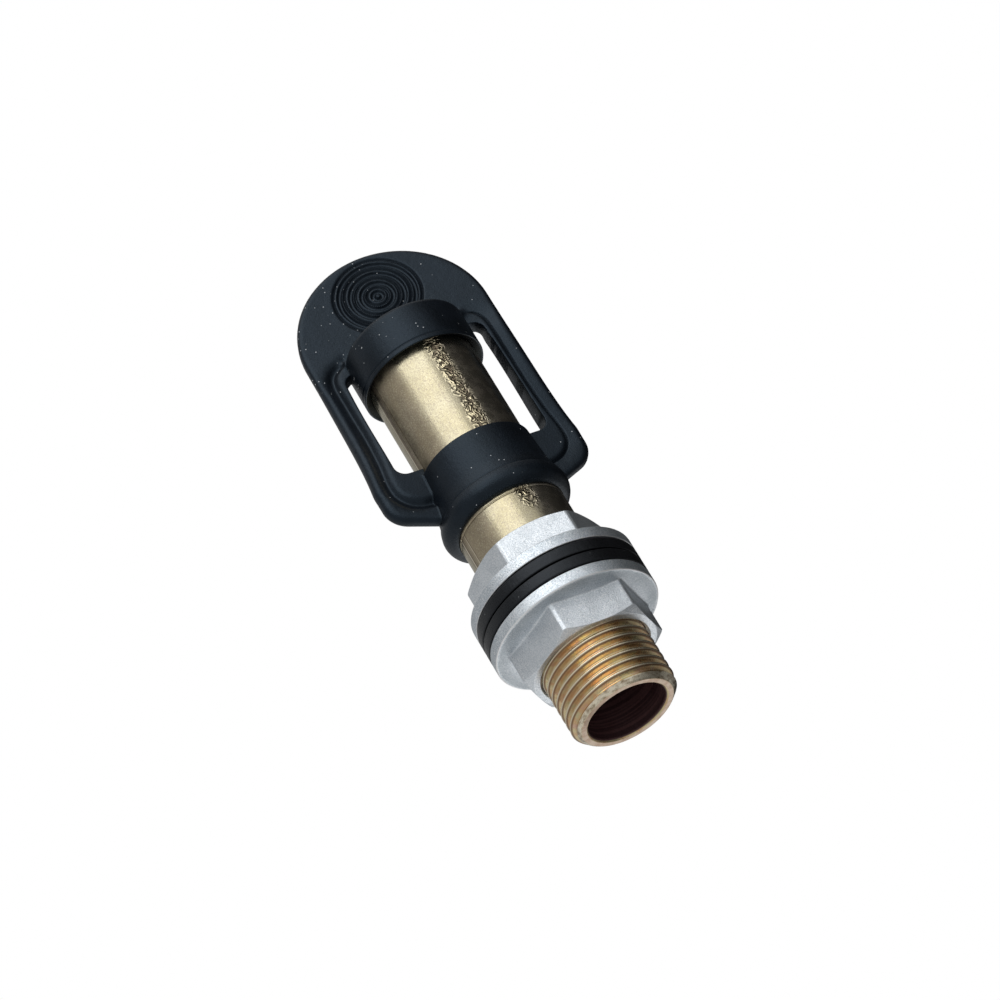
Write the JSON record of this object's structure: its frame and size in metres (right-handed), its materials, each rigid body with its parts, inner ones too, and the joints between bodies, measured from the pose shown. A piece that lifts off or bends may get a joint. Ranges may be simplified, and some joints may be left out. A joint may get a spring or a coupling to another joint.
{
  "type": "beacon mounting spigot",
  "caption": "Threaded tube spigot for a warning beacon, clamped to a panel by two flange nuts and seals, with a sprung centre contact and a rubber cap with a pull tab.",
  "frame": {"origin": "centre of the tube's threaded end face", "axes": "+Z along the tube towards the cap, X across the cap's flat pull tab, Y through the tab's thickness"},
  "size_m": [0.0462, 0.037, 0.1271],
  "materials": {
    "zinc_yellow": "yellow zinc plated steel, satin",
    "zinc_grey": "fine-grained grey zinc",
    "seal_rubber": "smooth black rubber",
    "cap_rubber": "satin black moulded rubber",
    "black_plastic": "moulded black plastic",
    "brass": "turned brass",
    "spring_steel": "bright spring steel",
    "tinned_brass": "tinned brass strip"
  },
  "bodies": {
    "spigot": {"spigot_tube": "zinc_yellow", "upper_flange_nut": "zinc_grey", "upper_seal": "seal_rubber", "contact_insulator": "black_plastic", "insulator_o_ring": "seal_rubber", "insulator_plug": "black_plastic", "terminal_post": "brass", "terminal_washer": "spring_steel", "blade_terminal": "tinned_brass", "retaining_clip": "spring_steel", "contact_spring": "spring_steel"},
    "cap": {"rubber_cap": "cap_rubber"},
    "lower_seal": {"lower_seal": "seal_rubber"},
    "lower_nut": {"lower_flange_nut": "zinc_grey"},
    "plunger": {"contact_plunger": "brass"}
  },
  "joints": [
    {"name": "cap_pull", "type": "slide", "parent": "spigot", "child": "cap", "axis": [0, 0, 1], "range_m": [0, 0.045]},
    {"name": "seal_drop", "type": "slide", "parent": "spigot", "child": "lower_seal", "axis": [0, 0, -1], "range_m": [0, 0.01405]},
    {"name": "nut_turn", "type": "hinge", "parent": "lower_seal", "child": "lower_nut", "pos_m": [0, 0, 0.0195], "axis": [0, 0, -1], "range_deg": [0, 2520]},
    {"name": "contact_press", "type": "slide", "parent": "spigot", "child": "plunger", "axis": [0, 0, -1], "range_m": [0, 0.003], "stiffness_N_per_m": 900, "springref_m": -0.004, "deforming": ["contact_spring"]}
  ],
  "couplings": [
    {"joint": "seal_drop", "follows": "nut_turn", "m_per_rad": 0.00031831}
  ]
}
